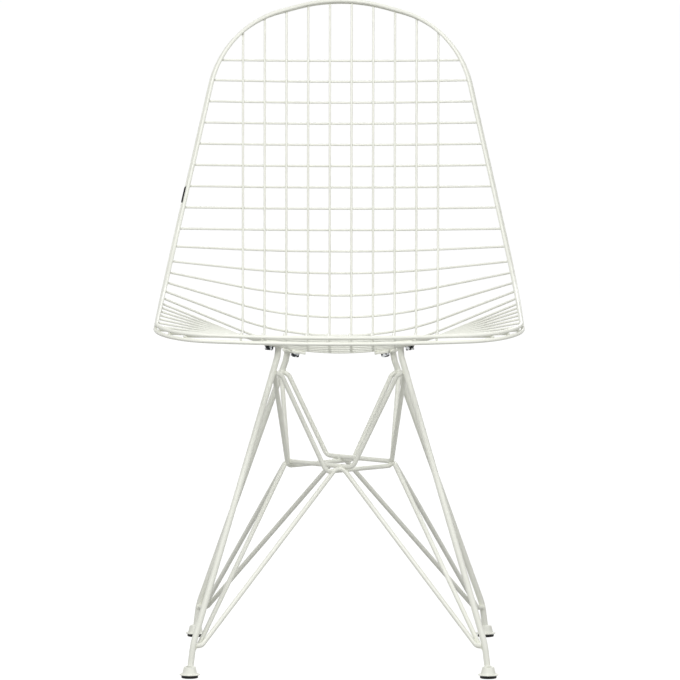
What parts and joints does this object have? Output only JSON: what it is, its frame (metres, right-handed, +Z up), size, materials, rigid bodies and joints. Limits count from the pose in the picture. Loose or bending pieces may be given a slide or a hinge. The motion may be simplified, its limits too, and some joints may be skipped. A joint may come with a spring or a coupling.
{
  "type": "wire mesh chair",
  "caption": "Wire mesh chair: a welded wire seat shell with an arched back on a base of bent rods, standing on four glide feet.",
  "frame": {"origin": "on the floor, in the middle of the chair's bounding box", "axes": "+Z up, -Y the way the chair looks, +X to the right of a person who faces the chair"},
  "size_m": [0.4746, 0.5281, 0.8364],
  "materials": {
    "powder_coat": "cream-white satin powder coat",
    "bright_zinc": "bright zinc plated",
    "pad_plastic": "matt black glide plastic",
    "tag_black": "matt black sleeve"
  },
  "bodies": {
    "root": {"cross_wire_01": "powder_coat", "cross_wire_02": "powder_coat", "cross_wire_03": "powder_coat", "cross_wire_04": "powder_coat", "cross_wire_05": "powder_coat", "cross_wire_06": "powder_coat", "cross_wire_07": "powder_coat", "cross_wire_08": "powder_coat", "cross_wire_09": "powder_coat", "cross_wire_10": "powder_coat", "cross_wire_11": "powder_coat", "cross_wire_12": "powder_coat", "cross_wire_13": "powder_coat", "cross_wire_14": "powder_coat", "cross_wire_15": "powder_coat", "cross_wire_16": "powder_coat", "cross_wire_17": "powder_coat", "cross_wire_18": "powder_coat", "cross_wire_19": "powder_coat", "cross_wire_20": "powder_coat", "cross_wire_21": "powder_coat", "cross_wire_22": "powder_coat", "cross_wire_23": "powder_coat", "cross_wire_24": "powder_coat", "cross_wire_25": "powder_coat", "foot_cups": "powder_coat", "glide_pad_front_left": "pad_plastic", "glide_pad_front_right": "pad_plastic", "glide_pad_rear_left": "pad_plastic", "glide_pad_rear_right": "pad_plastic", "leg_front_left": "powder_coat", "leg_front_right": "powder_coat", "leg_rear_left": "powder_coat", "leg_rear_right": "powder_coat", "long_wire_01": "powder_coat", "long_wire_02": "powder_coat", "long_wire_03": "powder_coat", "long_wire_04": "powder_coat", "long_wire_05": "powder_coat", "long_wire_06": "powder_coat", "long_wire_07": "powder_coat", "long_wire_08": "powder_coat", "long_wire_09": "powder_coat", "long_wire_10": "powder_coat", "lower_brace_front": "powder_coat", "lower_brace_left": "powder_coat", "lower_brace_rear": "powder_coat", "lower_brace_right": "powder_coat", "mount_bolts": "bright_zinc", "mount_plates": "powder_coat", "mount_washers": "bright_zinc", "rim_lower_wire": "powder_coat", "rim_tag": "tag_black", "rim_upper_wire": "powder_coat", "upper_rod_front_left": "powder_coat", "upper_rod_front_right": "powder_coat", "upper_rod_rear_left": "powder_coat", "upper_rod_rear_right": "powder_coat"}
  },
  "joints": []
}
